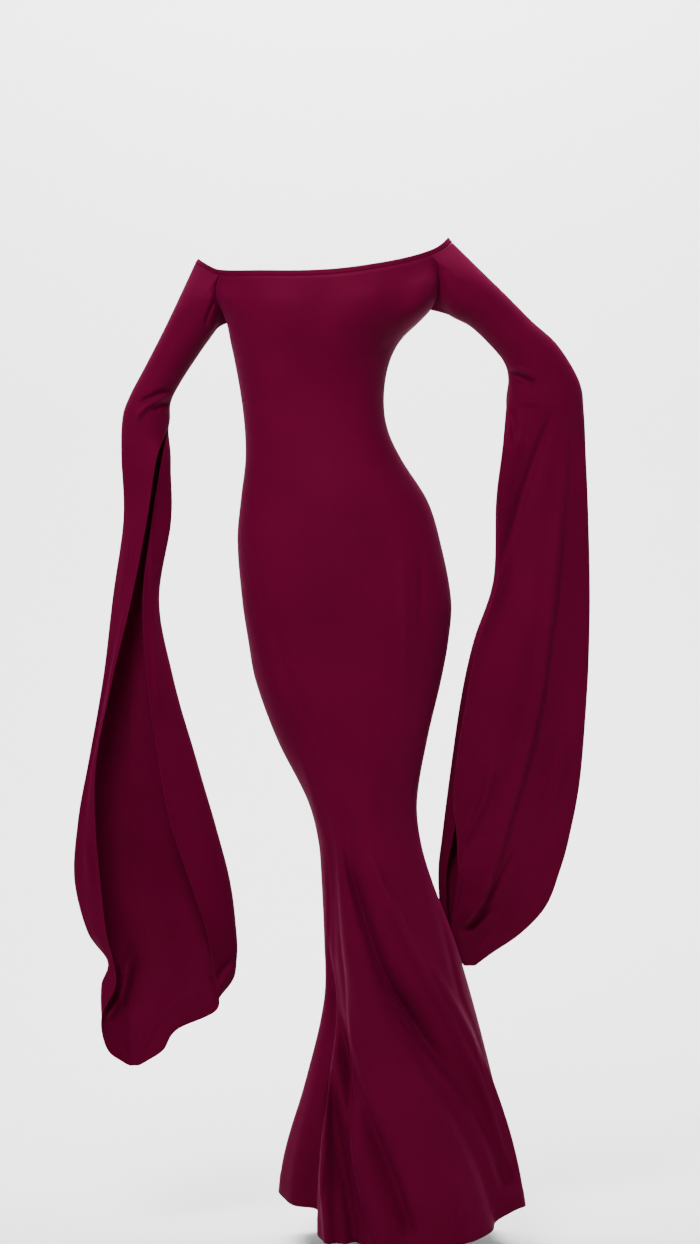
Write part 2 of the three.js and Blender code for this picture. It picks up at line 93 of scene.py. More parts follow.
# The gown's outline at each height: its sides as seen from the front, and its depths before
# and behind the side seams. Its section is a slightly squared oval.
JERSEY = 0.0014
SQUARENESS = 2.25
KNEE_Z = -0.82
HEM_Z = -1.42
Level = namedtuple("Level", "z left right front back")
BODY = (
    Level(0.060, -0.190, 0.192, 0.092, 0.080),
    Level(0.000, -0.183, 0.187, 0.106, 0.092),
    Level(-0.045, -0.163, 0.175, 0.118, 0.098),
    Level(-0.067, -0.151, 0.164, 0.122, 0.100),
    Level(-0.087, -0.142, 0.145, 0.122, 0.100),
    Level(-0.112, -0.137, 0.119, 0.117, 0.098),
    Level(-0.150, -0.129, 0.101, 0.105, 0.091),
    Level(-0.202, -0.120, 0.094, 0.093, 0.082),
    Level(-0.247, -0.115, 0.100, 0.089, 0.080),
    Level(-0.292, -0.114, 0.121, 0.091, 0.086),
    Level(-0.352, -0.121, 0.159, 0.099, 0.102),
    Level(-0.412, -0.126, 0.178, 0.106, 0.118),
    Level(-0.502, -0.119, 0.195, 0.109, 0.124),
    Level(-0.562, -0.110, 0.191, 0.106, 0.118),
    Level(-0.622, -0.099, 0.180, 0.101, 0.107),
    Level(-0.712, -0.066, 0.159, 0.094, 0.092),
    Level(-0.802, -0.021, 0.144, 0.087, 0.082),
    Level(-0.862, -0.005, 0.149, 0.085, 0.084),
    Level(-0.922, 0.000, 0.166, 0.091, 0.094),
    Level(-1.012, 0.004, 0.200, 0.109, 0.116),
    Level(-1.102, 0.005, 0.227, 0.130, 0.140),
    Level(-1.222, -0.020, 0.258, 0.158, 0.172),
    Level(-1.342, -0.053, 0.287, 0.180, 0.202),
    Level(-1.450, -0.062, 0.306, 0.196, 0.224),
)

# How high the hem is turned up, and how far that makes the cloth stand out
HEM_TURN = 0.024
HEM_PROUD = 0.0005

# Heights of the neckline and the hem round the body, as (degrees, height): 0 is the viewer's
# right side, 90 the front, 180 the left side and 270 the back
NECKLINE = ((0, 0.042), (33, 0.017), (60, -0.002), (90, -0.016), (120, -0.016), (147, -0.012),
            (165, 0.003), (180, 0.010), (195, 0.006), (213, -0.005), (270, 0.000), (327, 0.025))
HEM = ((0, -1.398), (22, -1.402), (33, -1.416), (42, -1.424), (60, -1.434), (90, -1.444),
       (120, -1.438), (134, -1.430), (143, -1.402), (156, -1.396), (180, -1.382), (225, -1.402),
       (270, -1.424), (315, -1.418))

# The armhole seams climb from the armpits to the lower edge of the casing over ARMHOLE_ANGLE
# degrees, and ARMHOLE_BEND below 1 makes them steepest at the armpit
CASING_HEIGHT = 0.008
ARMHOLE_ANGLE = 33
ARMHOLE_BEND = 0.75
ARMPIT_LEFT_Z = -0.087
ARMPIT_RIGHT_Z = -0.067

# Folds of the flared skirt. turns gives a fold's angle at each level of FOLD_LEVELS, wide its
# half width in degrees, and rise how far it stands out at the hem; troughs are below nought.
FOLD_LEVELS = (-0.850, -1.000, -1.150, -1.300, -1.430)
SkirtFold = namedtuple("SkirtFold", "top turns wide rise")
SKIRT_FOLDS = (
    SkirtFold(-0.780, (135, 142, 135, 105, 92), 8, -0.015),
    SkirtFold(-0.820, (124, 122, 108, 80, 66), 12, 0.010),
    SkirtFold(-0.700, (113, 102, 80, 48, 34), 9, -0.018),
    SkirtFold(-0.820, (94, 74, 38, 17, 17), 8, 0.014),
    SkirtFold(-1.130, (40, 36, 26, 10, 9), 5, -0.008),
    SkirtFold(-1.060, (150, 148, 139, 129, 122), 4.5, 0.016),
    SkirtFold(-1.110, (146, 144, 133, 121, 108), 6, -0.025),
    SkirtFold(-1.050, (148, 146, 127, 108, 96), 7, 0.011),
    SkirtFold(-1.000, (166, 162, 155, 146, 143), 8, -0.030),
    SkirtFold(-1.040, (178, 176, 174, 172, 172), 7, 0.007),
    SkirtFold(-0.880, (206, 204, 200, 196, 194), 10, -0.012),
    SkirtFold(-0.840, (230, 226, 222, 218, 215), 11, 0.012),
    SkirtFold(-0.800, (252, 247, 242, 238, 236), 10, -0.015),
    SkirtFold(-0.860, (272, 268, 265, 263, 262), 11, 0.012),
    SkirtFold(-0.900, (291, 289, 288, 288, 288), 10, -0.014),
    SkirtFold(-0.860, (312, 312, 313, 314, 314), 11, 0.013),
    SkirtFold(-0.940, (331, 333, 335, 337, 338), 9, -0.011),
)

# Creases and soft forms of the cloth, drawn on the front or the back view. rise lifts the
# cloth towards the viewer, left and right are the half widths on either side of the line, and
# ends are the shares of the line over which it fades in at its start and out at its end.
Crease = namedtuple("Crease", "rise left right ends line")
FRONT_CREASES = (
    Crease(-0.02, 0.014, 0.005, (0.45, 0.05), ((0.006, -0.851), (0.017, -0.922), (0.017, -0.987),
           (0.019, -1.042), (0.027, -1.111), (0.037, -1.165), (0.054, -1.221), (0.072, -1.269),
           (0.096, -1.331), (0.116, -1.386), (0.131, -1.428), (0.138, -1.466))),
    Crease(0.004, 0.003, 0.006, (0.3, 0.3), ((0.019, -1.056), (0.030, -1.117), (0.044, -1.181),
           (0.065, -1.242), (0.088, -1.304))),
    Crease(-0.005, 0.003, 0.003, (0.3, 0.4), ((0.009, -0.878), (0.012, -0.953),
           (0.012, -1.073))),
    Crease(0.005, 0.005, 0.006, (0.3, 0), ((0.005, -1.125), (0.019, -1.181), (0.030, -1.234),
           (0.041, -1.290), (0.052, -1.345), (0.061, -1.399), (0.071, -1.466))),
    Crease(-0.018, 0.006, 0.009, (0.4, 0), ((0.013, -1.187), (0.015, -1.252), (0.015, -1.304),
           (0.017, -1.357), (0.019, -1.413), (0.021, -1.466))),
    Crease(-0.02, 0.012, 0.005, (0.4, 0), ((0.013, -1.187), (0.019, -1.250), (0.027, -1.304),
           (0.035, -1.359), (0.044, -1.415), (0.052, -1.466))),
    Crease(0.007, 0.004, 0.003, (0.2, 0), ((0.013, -1.193), (0.009, -1.282), (0.003, -1.351),
           (-0.005, -1.403))),
    Crease(-0.019, 0.005, 0.008, (0.3, 0.3), ((0.030, -0.855), (0.046, -0.919), (0.066, -0.987),
           (0.083, -1.041), (0.104, -1.088), (0.131, -1.133), (0.158, -1.170), (0.188, -1.208))),
    Crease(-0.024, 0.007, 0.026, (0.3, 0.05), ((0.083, -1.041), (0.119, -1.109), (0.158, -1.170),
           (0.197, -1.220), (0.230, -1.270), (0.260, -1.331), (0.281, -1.397))),
    Crease(0.013, 0.012, 0.004, (0.25, 0.1), ((0.068, -0.863), (0.078, -0.891), (0.096, -0.933),
           (0.116, -0.974), (0.140, -1.029), (0.161, -1.070), (0.192, -1.125), (0.216, -1.173),
           (0.237, -1.215), (0.254, -1.263), (0.270, -1.317), (0.288, -1.373))),
    Crease(-0.008, 0.005, 0.005, (0.3, 0.2), ((0.164, -0.938), (0.181, -0.987), (0.208, -1.098),
           (0.233, -1.159), (0.254, -1.221))),
    Crease(0.003, 0.003, 0.003, (0.3, 0), ((0.195, -1.085), (0.227, -1.152), (0.243, -1.208),
           (0.261, -1.263), (0.278, -1.317), (0.292, -1.380))),
    Crease(-0.005, 0.009, 0.009, (0.4, 0.4), ((0.026, -0.795), (0.041, -0.836),
           (0.056, -0.875))),
    Crease(0.004, 0.005, 0.006, (0.3, 0.3), ((-0.036, -0.720), (-0.019, -0.780),
           (-0.005, -0.836), (0.007, -0.878))),
    Crease(-0.003, 0.008, 0.008, (0.3, 0.3), ((0.116, -0.105), (0.084, -0.137),
           (0.060, -0.131))),
    Crease(-0.003, 0.007, 0.009, (0.3, 0.3), ((-0.121, -0.405), (-0.095, -0.476),
           (-0.069, -0.556), (-0.048, -0.629), (-0.009, -0.705), (0.018, -0.753))),
    Crease(0.003, 0.012, 0.014, (0.3, 0.3), ((-0.140, -0.443), (-0.117, -0.517),
           (-0.088, -0.600), (-0.057, -0.675))),
    Crease(-0.003, 0.006, 0.006, (0.3, 0.3), ((0.148, -0.405), (0.150, -0.473),
           (0.148, -0.562))),
    Crease(0.003, 0.008, 0.008, (0.3, 0.3), ((0.121, -0.390), (0.126, -0.503), (0.128, -0.705))),
    Crease(0.003, 0.01, 0.01, (0.3, 0.3), ((0.167, -0.413), (0.173, -0.503), (0.164, -0.638))),
    Crease(0.003, 0.014, 0.012, (0.4, 0.4), ((0.138, -0.786), (0.141, -0.855))),
    Crease(-0.004, 0.0025, 0.003, (0.3, 0.3), ((-0.154, -0.035), (-0.154, -0.059),
           (-0.161, -0.080), (-0.167, -0.091))),
    Crease(0.004, 0.003, 0.0025, (0.3, 0.3), ((-0.156, -0.033), (-0.158, -0.059),
           (-0.164, -0.075), (-0.170, -0.098))),
)
BACK_CREASES = (
    Crease(-0.004, 0.016, 0.016, (0.3, 0.3), ((-0.010, -0.080), (-0.012, -0.200),
           (0.004, -0.330))),
    Crease(-0.004, 0.010, 0.012, (0.3, 0.3), ((0.030, -0.420), (0.044, -0.560))),
    Crease(0.003, 0.007, 0.012, (0.3, 0), ((0.110, -0.960), (0.150, -1.180), (0.196, -1.420))),
    Crease(-0.005, 0.006, 0.008, (0.3, 0), ((0.060, -0.900), (0.058, -1.150),
           (0.044, -1.430))),
    Crease(0.004, 0.006, 0.009, (0.3, 0), ((0.086, -0.940), (0.104, -1.180), (0.112, -1.430))),
    Crease(-0.005, 0.006, 0.008, (0.3, 0), ((0.128, -1.020), (0.166, -1.230),
           (0.206, -1.430))),
    Crease(0.003, 0.006, 0.008, (0.3, 0), ((0.040, -1.000), (0.012, -1.220), (-0.020, -1.430))),
)

# Round forms under the cloth, as soft swellings on the front and the back view. Those at the
# shoulders carry the panel over into the sleeves. They fade out over FORM_FADE below the
# casing, and the larger SEAM_FADE is, the closer to the side seam they reach.
FORM_FADE = 0.04
SEAM_FADE = 7
Form = namedtuple("Form", "x z wide tall rise")
SHOULDER_FORMS = (
    Form(-0.152, -0.060, 0.030, 0.040, 0.023),
    Form(0.164, -0.050, 0.032, 0.045, 0.021),
    Form(0.148, -0.082, 0.026, 0.032, 0.013),
)
FRONT_FORMS = (
    Form(-0.062, -0.070, 0.042, 0.044, 0.007),
    Form(0.062, -0.066, 0.042, 0.044, 0.007),
    Form(0.000, -0.075, 0.020, 0.045, -0.003),
    Form(-0.100, -0.190, 0.020, 0.050, 0.002),
    Form(0.070, -0.190, 0.020, 0.050, 0.002),
    Form(0.012, -0.330, 0.060, 0.050, 0.003),
    Form(0.080, -0.800, 0.034, 0.050, 0.005),
) + SHOULDER_FORMS
BACK_FORMS = (
    Form(-0.055, -0.060, 0.040, 0.050, 0.005),
    Form(0.050, -0.055, 0.040, 0.050, 0.005),
    Form(-0.040, -0.480, 0.060, 0.070, 0.008),
    Form(0.105, -0.490, 0.060, 0.070, 0.008),
    Form(0.080, -1.000, 0.030, 0.080, 0.004),
)


# The front panel: the table's outline, the skirt's folds, and the creases of the front view
def curve(rows, at):
    # A smooth curve through the rows; at counts from nought at the first one
    rows = np.asarray(rows, dtype=float)
    at = np.asarray(at, dtype=float)
    last = len(rows) - 1
    start = np.clip(np.floor(at), 0, last - 1).astype(int)
    t = at - start
    t = t.reshape(t.shape + (1,) * (rows.ndim - 1))
    before = rows[np.maximum(start - 1, 0)]
    near = rows[start]
    far = rows[start + 1]
    after = rows[np.minimum(start + 2, last)]
    return 0.5 * (2 * near + (far - before) * t + (2 * before - 5 * near + 4 * far - after) * t ** 2
                  + (3 * near - before - 3 * far + after) * t ** 3)


def body_size(z, column):
    heights = np.array([level.z for level in BODY])[::-1]
    sizes = np.array([getattr(level, column) for level in BODY])[::-1]
    slopes = np.empty_like(sizes)
    slopes[1:-1] = (sizes[2:] - sizes[:-2]) / (heights[2:] - heights[:-2])
    slopes[0] = (sizes[1] - sizes[0]) / (heights[1] - heights[0])
    slopes[-1] = (sizes[-1] - sizes[-2]) / (heights[-1] - heights[-2])
    low = np.clip(np.searchsorted(heights, z) - 1, 0, len(heights) - 2)
    step = heights[low + 1] - heights[low]
    t = (z - heights[low]) / step
    return ((2 * t ** 3 - 3 * t ** 2 + 1) * sizes[low]
            + (t ** 3 - 2 * t ** 2 + t) * step * slopes[low]
            + (3 * t ** 2 - 2 * t ** 3) * sizes[low + 1]
            + (t ** 3 - t ** 2) * step * slopes[low + 1])


def edge_height(edge, angle):
    turns = [at for at, z in edge]
    turns = [turns[-2] - 360, turns[-1] - 360] + turns + [turns[0] + 360, turns[1] + 360]
    heights = [z for at, z in edge]
    heights = heights[-2:] + heights + heights[:2]
    return curve(heights, np.interp(np.mod(angle, 360), turns, range(len(turns))))


def fold_rise(angle, z):
    rise = np.zeros_like(angle)
    at = np.interp(-z, [-level for level in FOLD_LEVELS], range(len(FOLD_LEVELS)))
    for fold in SKIRT_FOLDS:
        down = np.clip((fold.top - z) / (fold.top - FOLD_LEVELS[-1]) * 1.6, 0, 1)
        away = (angle - curve(fold.turns, at)) / fold.wide
        rise += fold.rise * down * np.exp(-away ** 2)
    return rise


def body_point(angle, z):
    across = np.cos(np.radians(angle))
    ahead = np.sin(np.radians(angle))
    left = body_size(z, "left")
    right = body_size(z, "right")
    deep = np.where(ahead > 0, body_size(z, "front"), body_size(z, "back"))
    power = 2 / SQUARENESS
    x = (right - left) / 2 * np.sign(across) * np.abs(across) ** power
    y = -deep * np.sign(ahead) * np.abs(ahead) ** power
    grow = 1 + fold_rise(angle, z) / np.hypot(x, y)
    return np.stack([(left + right) / 2 + x * grow, y * grow, z], axis=-1)


# Where the camera stands, which also gives a point's place on the front view
EYE = Vector((0.043, -5.5, -0.535))


def on_view(points):
    scale = -EYE.y / (points[..., 1] - EYE.y)
    return (EYE.x + (points[..., 0] - EYE.x) * scale, EYE.z + (points[..., 2] - EYE.z) * scale)


def crease_rise(creases, across, height):
    rise = np.zeros_like(across)
    for crease in creases:
        line = np.array(crease.line)
        lengths = np.hypot(*(line[1:] - line[:-1]).T)
        passed = np.concatenate([[0], np.cumsum(lengths)])
        nearest = np.full_like(across, 1e9)
        share = np.zeros_like(across)
        side = np.ones_like(across)
        for start, end, length, before in zip(line, line[1:], lengths, passed):
            way = (end - start) / length
            off_x = across - start[0]
            off_z = height - start[1]
            along = np.clip(off_x * way[0] + off_z * way[1], 0, length)
            away = np.hypot(off_x - way[0] * along, off_z - way[1] * along)
            closer = away < nearest
            nearest = np.where(closer, away, nearest)
            share = np.where(closer, (before + along) / passed[-1], share)
            side = np.where(closer, off_z * way[0] - off_x * way[1], side)
        wide = np.where(side < 0, crease.left, crease.right)
        begin, finish = crease.ends
        fade = np.minimum(1, share / begin)
        if finish > 0:
            fade = np.minimum(fade, (1 - share) / finish)
        rise += crease.rise * fade ** 2 * (3 - 2 * fade) * np.exp(-(nearest / wide) ** 2)
    return rise


def form_rise(forms, across, height):
    rise = np.zeros_like(across)
    for form in forms:
        rise += form.rise * np.exp(-((across - form.x) / form.wide) ** 2
                                   - ((height - form.z) / form.tall) ** 2)
    return rise


def below_neckline(angle, z):
    # Nought at the casing and 1 from FORM_FADE below it, so that the forms leave it free
    return np.clip((edge_height(NECKLINE, angle) - CASING_HEIGHT - z) / FORM_FADE, 0, 1)


def armhole_height(from_side, on_right):
    armpit = ARMPIT_RIGHT_Z if on_right else ARMPIT_LEFT_Z
    corner = ARMHOLE_ANGLE if on_right else 180 - ARMHOLE_ANGLE
    top = edge_height(NECKLINE, corner) - CASING_HEIGHT
    return armpit + (top - armpit) * (np.abs(from_side) / ARMHOLE_ANGLE) ** ARMHOLE_BEND


def panel_top(angle):
    # The neckline in the middle of a panel, and the armhole seams at its sides
    on_right = np.cos(np.radians(angle)) > 0
    side = np.where(on_right, np.where(angle > 180, 360, 0), 180)
    from_side = np.abs(angle - side)
    seam = np.where(on_right, armhole_height(from_side, True), armhole_height(from_side, False))
    return np.where(from_side < ARMHOLE_ANGLE, seam, edge_height(NECKLINE, angle) - CASING_HEIGHT)


def panel_points(from_angle, columns, rows, lean):
    # Below the knee the columns lean with the folds; a lean of 1 keeps them upright
    swing = np.interp(np.arange(columns + 1) / columns, (0, 0.15, 0.85, 1), (0, 33, 147, 180))
    down = np.linspace(0, 1, rows + 1)[:, None]
    top = panel_top(from_angle + swing)
    level = top + (HEM_Z - top) * down
    below_knee = np.clip((KNEE_Z - level) / (KNEE_Z - HEM_Z), 0, 1)
    angle = from_angle + swing + (180 * (swing / 180) ** lean - swing) * below_knee
    hem = edge_height(HEM, angle)
    z = top + (hem - top) * down
    points = body_point(angle, z)
    front = from_angle == 0
    towards = -1 if front else 1
    across, height = on_view(points) if front else (points[..., 0], z)
    # The folds leave the side seams where they are
    middle = np.clip(np.sin(np.radians(angle - from_angle)) * 3, 0, 1)
    rise = crease_rise(FRONT_CREASES if front else BACK_CREASES, across, height)
    forms = form_rise(FRONT_FORMS if front else BACK_FORMS, across, height)
    near_seam = np.clip(np.sin(np.radians(angle - from_angle)) * SEAM_FADE, 0, 1)
    points[..., 1] += towards * (rise * middle + forms * below_neckline(angle, z) * near_seam)
    # The turned hem stands a little proud
    out = points[..., :2] - points[..., :2].mean(axis=1, keepdims=True)
    out /= np.linalg.norm(out, axis=-1, keepdims=True)
    turned = HEM_PROUD * (z - hem < HEM_TURN)
    points[..., :2] += out * turned[..., None]
    return points


def mesh_object(name, work, material):
    # Ends work on a bmesh and puts it in the scene as a smooth object
    for face in work.faces:
        face.smooth = True
    mesh = bpy.data.meshes.new(name)
    work.to_mesh(mesh)
    work.free()
    mesh.materials.append(material)
    made = bpy.data.objects.new(name, mesh)
    bpy.context.scene.collection.objects.link(made)
    return made


def cloth(name, points, thickness, material, node):
    # points is a grid of places, row by row from the top; edges that meet are joined
    rows, columns = points.shape[0] - 1, points.shape[1] - 1
    work = bmesh.new()
    bmesh.ops.create_grid(work, x_segments=columns, y_segments=rows, size=0.5)
    for vertex, place in zip(work.verts, points[::-1].reshape(-1, 3)):
        vertex.co = place
    bmesh.ops.remove_doubles(work, verts=work.verts, dist=0.00001)
    piece = mesh_object(name, work, material)
    if thickness:
        shell = piece.modifiers.new("thickness", "SOLIDIFY")
        shell.thickness = thickness
        shell.offset = -1
    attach(piece, "root")
    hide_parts(node)
    return piece


front_points = panel_points(0, 180, 220, 1.7)[:, ::-1]
front_panel = cloth("front_panel", front_points, JERSEY, jersey, "gown_front")

# The back panel, made the same way with folds of its own
back_points = panel_points(180, 140, 180, 1)[:, ::-1]
back_panel = cloth("back_panel", back_points, JERSEY, jersey, "gown_back")

# The fitted upper sleeves, ring by ring from the shoulder to the elbow: each ring reaches from
# the sleeve's outer side to its under side, and y and deep are its middle and half depth
Ring = namedtuple("Ring", "outer under y deep")
RIGHT_ARM = (
    Ring((-0.215, -0.052), (-0.158, -0.097), 0.002, 0.050),
    Ring((-0.237, -0.097), (-0.182, -0.130), 0.008, 0.044),
    Ring((-0.264, -0.148), (-0.211, -0.173), 0.018, 0.039),
    Ring((-0.290, -0.196), (-0.227, -0.204), 0.028, 0.037),
    Ring((-0.301, -0.230), (-0.230, -0.238), 0.034, 0.036),
)
LEFT_ARM = (
    Ring((0.239, -0.007), (0.193, -0.075), 0.004, 0.050),
    Ring((0.281, -0.047), (0.224, -0.091), 0.012, 0.045),
    Ring((0.317, -0.082), (0.254, -0.118), 0.022, 0.041),
    Ring((0.357, -0.118), (0.275, -0.143), 0.032, 0.040),
    Ring((0.390, -0.172), (0.282, -0.168), 0.042, 0.043),
    Ring((0.397, -0.218), (0.279, -0.209), 0.046, 0.045),
)

# The open drapes below the elbows. At each height the sheet runs from its front hem edge,
# round the outer fold and the back, to the inner fold and its back hem edge, as (x, y).
Row = namedtuple("Row", "z front outer back inner end")
RIGHT_DRAPE = (
    Row(-0.292, (-0.248, 0.000), (-0.302, 0.032), (-0.264, 0.068), (-0.228, 0.042), (-0.240, 0.020)),
    Row(-0.382, (-0.262, -0.004), (-0.299, 0.028), (-0.262, 0.066), (-0.227, 0.042), (-0.255, 0.020)),
    Row(-0.502, (-0.285, -0.010), (-0.315, 0.022), (-0.280, 0.064), (-0.245, 0.040), (-0.268, 0.010)),
    Row(-0.622, (-0.313, -0.014), (-0.328, 0.014), (-0.288, 0.068), (-0.223, 0.036), (-0.260, -0.004)),
    Row(-0.742, (-0.337, -0.018), (-0.347, 0.010), (-0.288, 0.076), (-0.189, 0.034), (-0.243, -0.014)),
    Row(-0.832, (-0.338, -0.024), (-0.364, 0.012), (-0.284, 0.086), (-0.163, 0.034), (-0.226, -0.020)),
    Row(-0.922, (-0.330, -0.030), (-0.370, 0.012), (-0.274, 0.090), (-0.140, 0.034), (-0.196, -0.022)),
    Row(-1.000, (-0.321, -0.028), (-0.350, 0.006), (-0.264, 0.082), (-0.131, 0.032), (-0.170, -0.016)),
    Row(-1.044, (-0.311, -0.020), (-0.319, 0.000), (-0.258, 0.074), (-0.131, 0.032), (-0.162, -0.006)),
    Row(-1.080, (-0.308, -0.012), (-0.329, 0.008), (-0.254, 0.062), (-0.141, 0.034), (-0.158, 0.008)),
    Row(-1.120, (-0.328, -0.002), (-0.326, 0.014), (-0.268, 0.046), (-0.190, 0.036), (-0.158, 0.024)),
    Row(-1.150, (-0.330, 0.004), (-0.314, 0.018), (-0.276, 0.036), (-0.234, 0.034), (-0.218, 0.028)),
    Row(-1.180, (-0.320, 0.008), (-0.304, 0.018), (-0.280, 0.028), (-0.256, 0.028), (-0.238, 0.026)),
    Row(-1.196, (-0.300, 0.013), (-0.292, 0.018), (-0.283, 0.021), (-0.272, 0.022), (-0.262, 0.022)),
    Row(-1.203, (-0.288, 0.017), (-0.285, 0.019), (-0.281, 0.020), (-0.278, 0.021), (-0.275, 0.021)),
)
LEFT_DRAPE = (
    Row(-0.282, (0.271, 0.000), (0.399, 0.046), (0.332, 0.092), (0.274, 0.062), (0.290, 0.036)),
    Row(-0.354, (0.264, -0.006), (0.402, 0.048), (0.332, 0.098), (0.266, 0.066), (0.283, 0.038)),
    Row(-0.472, (0.264, -0.008), (0.405, 0.050), (0.334, 0.104), (0.262, 0.072), (0.280, 0.042)),
    Row(-0.565, (0.236, -0.004), (0.404, 0.052), (0.320, 0.110), (0.233, 0.074), (0.250, 0.044)),
    Row(-0.655, (0.218, 0.004), (0.400, 0.054), (0.308, 0.116), (0.214, 0.078), (0.231, 0.050)),
    Row(-0.776, (0.200, 0.016), (0.390, 0.058), (0.293, 0.122), (0.197, 0.084), (0.214, 0.060)),
    Row(-0.860, (0.204, 0.028), (0.375, 0.060), (0.279, 0.124), (0.187, 0.090), (0.200, 0.074)),
    Row(-0.912, (0.206, 0.034), (0.361, 0.062), (0.271, 0.120), (0.182, 0.092), (0.190, 0.080)),
    Row(-0.966, (0.199, 0.046), (0.340, 0.066), (0.265, 0.112), (0.184, 0.092), (0.190, 0.080)),
    Row(-1.008, (0.198, 0.060), (0.302, 0.072), (0.255, 0.102), (0.193, 0.092), (0.194, 0.078)),
    Row(-1.040, (0.207, 0.070), (0.256, 0.076), (0.244, 0.094), (0.210, 0.092), (0.205, 0.084)),
    Row(-1.058, (0.216, 0.076), (0.232, 0.077), (0.233, 0.086), (0.222, 0.088), (0.216, 0.085)),
)

# The shares of the sheet's width at which a row's five points lie, at the slit and at the tip
SLIT_KNOTS = (0, 0.47, 0.71, 0.93, 1)
RIGHT_TIP_KNOTS = (0, 0.24, 0.52, 0.79, 1)
LEFT_TIP_KNOTS = (0, 0.46, 0.68, 0.9, 1)

# Broad folds of the drapes: start and end are shares of the drape's length, and across the
# fold's place on the sheet at both, from nought at the front hem edge to 1 at the back one
DrapeFold = namedtuple("DrapeFold", "start end across wide rise")
RIGHT_DRAPE_FOLDS = (
    DrapeFold(0.1, 0.9, (0.52, 0.42), 0.05, -0.006),
    DrapeFold(0.35, 0.95, (0.66, 0.62), 0.05, 0.006),
    DrapeFold(0.05, 0.7, (0.18, 0.16), 0.05, 0.004),
)
LEFT_DRAPE_FOLDS = (
    DrapeFold(-0.1, 0.45, (0.22, 0.03), 0.05, 0.007),
    DrapeFold(0, 0.95, (0.27, 0.06), 0.05, -0.007),
    DrapeFold(0.3, 1, (0.36, 0.2), 0.05, 0.006),
    DrapeFold(0.1, 0.9, (0.6, 0.66), 0.06, -0.006),
)

# Creases of the sleeves on the front view: on the front layer, then on the inside of the back
RIGHT_FRONT_CREASES = (
    Crease(-0.005, 0.003, 0.003, (0.3, 0.3), ((-0.156, -0.052), (-0.162, -0.059),
           (-0.171, -0.080), (-0.174, -0.095))),
    Crease(-0.006, 0.004, 0.005, (0.2, 0.3), ((-0.222, -0.186), (-0.244, -0.192),
           (-0.263, -0.201), (-0.276, -0.213))),
    Crease(0.008, 0.004, 0.005, (0.2, 0.3), ((-0.222, -0.194), (-0.244, -0.201),
           (-0.261, -0.210), (-0.273, -0.222), (-0.282, -0.239))),
    Crease(-0.005, 0.004, 0.005, (0.2, 0.3), ((-0.227, -0.204), (-0.241, -0.210),
           (-0.255, -0.219))),
    Crease(0.005, 0.007, 0.007, (0.3, 0.3), ((-0.254, -0.352), (-0.263, -0.503),
           (-0.275, -0.652), (-0.292, -0.802))),
    Crease(-0.005, 0.006, 0.006, (0.3, 0.3), ((-0.269, -0.383), (-0.281, -0.532),
           (-0.298, -0.682), (-0.320, -0.833))),
    Crease(0.005, 0.006, 0.006, (0.3, 0.3), ((-0.287, -0.323), (-0.298, -0.503),
           (-0.320, -0.652), (-0.341, -0.787))),
    Crease(0.003, 0.004, 0.004, (0.3, 0.3), ((-0.355, -0.848), (-0.351, -0.896),
           (-0.344, -0.942))),
    Crease(-0.003, 0.004, 0.004, (0.3, 0.3), ((-0.347, -0.855), (-0.342, -0.904),
           (-0.336, -0.950))),
)
RIGHT_BACK_CREASES = (
    Crease(0.014, 0.005, 0.006, (0.2, 0.15), ((-0.281, -1.029), (-0.292, -1.067),
           (-0.301, -1.093), (-0.312, -1.115), (-0.324, -1.134))),
    Crease(0.008, 0.003, 0.005, (0.3, 0.3), ((-0.288, -1.060), (-0.297, -1.093),
           (-0.300, -1.117))),
    Crease(-0.015, 0.008, 0.005, (0.3, 0.3), ((-0.314, -1.030), (-0.306, -1.060),
           (-0.303, -1.088))),
    Crease(0.003, 0.009, 0.009, (0.3, 0.3), ((-0.273, -0.743), (-0.270, -0.802),
           (-0.267, -0.878))),
    Crease(0.003, 0.004, 0.005, (0.2, 0.2), ((-0.255, -0.383), (-0.252, -0.532),
           (-0.244, -0.690))),
    Crease(-0.005, 0.005, 0.005, (0.3, 0.3), ((-0.128, -1.038), (-0.143, -1.052),
           (-0.161, -1.074))),
    Crease(0.004, 0.004, 0.005, (0.3, 0.3), ((-0.124, -1.047), (-0.140, -1.064),
           (-0.156, -1.091))),
    Crease(-0.005, 0.004, 0.004, (0.3, 0.3), ((-0.167, -1.058), (-0.161, -1.076),
           (-0.153, -1.111))),
    Crease(0.002, 0.008, 0.008, (0.4, 0.4), ((-0.309, -1.020), (-0.295, -1.065),
           (-0.282, -1.117))),
)
